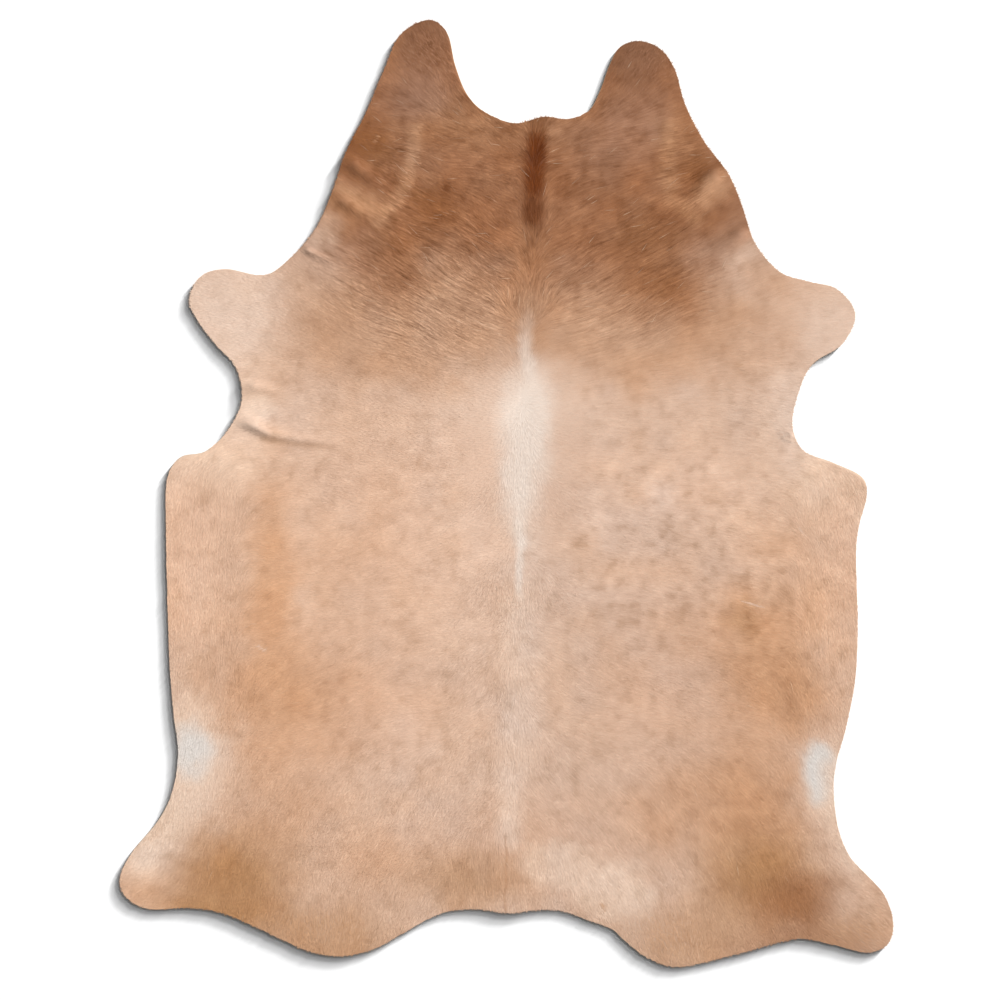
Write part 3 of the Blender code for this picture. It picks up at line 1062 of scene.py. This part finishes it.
def lit_only(lamp, receivers):
    """Lets a lamp light only the given objects."""
    group = bpy.data.collections.new(lamp.name + "_lights")
    for receiver in receivers:
        group.objects.link(receiver)
    lamp.light_linking.receiver_collection = group


def add_sun(context, name, strength, spread, azimuth, elevation):
    """A lamp far away. Azimuth counts from +X towards +Y, in degrees as all angles here."""
    lamp = bpy.data.objects.new(name, bpy.data.lights.new(name, "SUN"))
    context.scene.collection.objects.link(lamp)
    lamp.data.energy = strength
    lamp.data.angle = math.radians(spread)
    a, e = math.radians(azimuth), math.radians(elevation)
    towards = Vector((math.cos(a) * math.cos(e), math.sin(a) * math.cos(e), math.sin(e)))
    lamp.rotation_euler = towards.to_track_quat("Z", "Y").to_euler()
    lamp.location = towards * 4
    return lamp


class COWHIDE_OT_studio(bpy.types.Operator):
    """Set the floor, the camera straight above and soft lights"""

    bl_idname = "cowhide.studio"
    bl_label = "Set the studio"

    def execute(self, context):
        scene = context.scene
        studio = scene.cowhide_studio
        bpy.ops.mesh.primitive_plane_add(size=FLOOR_SIZE, location=(0, 0, -FLOOR_DROP))
        floor = context.object
        floor.name = "studio_floor"
        material, _, shader = new_material("studio_floor", 0.9, 0.2)
        shader.inputs["Base Color"].default_value = (0.9, 0.9, 0.9, 1.0)
        floor.data.materials.append(material)
        floor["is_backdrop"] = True
        hide = [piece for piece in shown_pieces() if piece is not floor]
        for name, share, spread, elevation in FLOOR_LAMPS:
            strength = share * studio.floor_lamps / math.sin(math.radians(elevation))
            lamp = add_sun(context, "floor_lamp_" + name, strength, spread, FLOOR_LAMPS_WAY, elevation)
            lit_only(lamp, [floor])
        for name, where in (("key_lamp", KEY_LAMP), ("fill_lamp", FILL_LAMP)):
            lit_only(add_sun(context, name, getattr(studio, name), *where), hide)
        world = bpy.data.worlds.new("studio_sky")
        scene.world = world
        world.use_nodes = True
        sky = world.node_tree.nodes["Background"]
        sky.inputs["Color"].default_value = (1.0, 1.0, 1.0, 1.0)
        sky.inputs["Strength"].default_value = studio.sky
        camera = bpy.data.objects.new("camera", bpy.data.cameras.new("camera"))
        scene.collection.objects.link(camera)
        camera.data.lens = studio.lens
        height = studio.frame_width * studio.lens / camera.data.sensor_width
        camera.location = Vector(studio.aim) + Vector((0, 0, height))
        camera.data.clip_end = CAMERA_REACH
        scene.camera = camera
        scene.view_settings.view_transform = "Standard"
        return {"FINISHED"}


class COWHIDE_PT_panel(bpy.types.Panel):
    """The rug's steps, in the order they are taken"""

    bl_idname = "COWHIDE_PT_panel"
    bl_label = "Cowhide Rug"
    bl_space_type = "VIEW_3D"
    bl_region_type = "UI"
    bl_category = "Cowhide"

    def draw(self, context):
        for step in STEPS:
            self.layout.operator(step.bl_idname)


STEPS = (COWHIDE_OT_skin, COWHIDE_OT_hair, COWHIDE_OT_studio)
CLASSES = (HideSizes, HideColours, StudioSizes, *STEPS, COWHIDE_PT_panel)


def register():
    for cls in CLASSES:
        bpy.utils.register_class(cls)
    bpy.types.Scene.cowhide_sizes = PointerProperty(type=HideSizes)
    bpy.types.Scene.cowhide_colours = PointerProperty(type=HideColours)
    bpy.types.Scene.cowhide_studio = PointerProperty(type=StudioSizes)


def unregister():
    del bpy.types.Scene.cowhide_studio
    del bpy.types.Scene.cowhide_colours
    del bpy.types.Scene.cowhide_sizes
    for cls in reversed(CLASSES):
        bpy.utils.unregister_class(cls)


def main():
    register()
    bpy.ops.cowhide.skin()
    bpy.ops.cowhide.hair()
    bpy.ops.cowhide.studio()


if __name__ == "__main__":
    main()
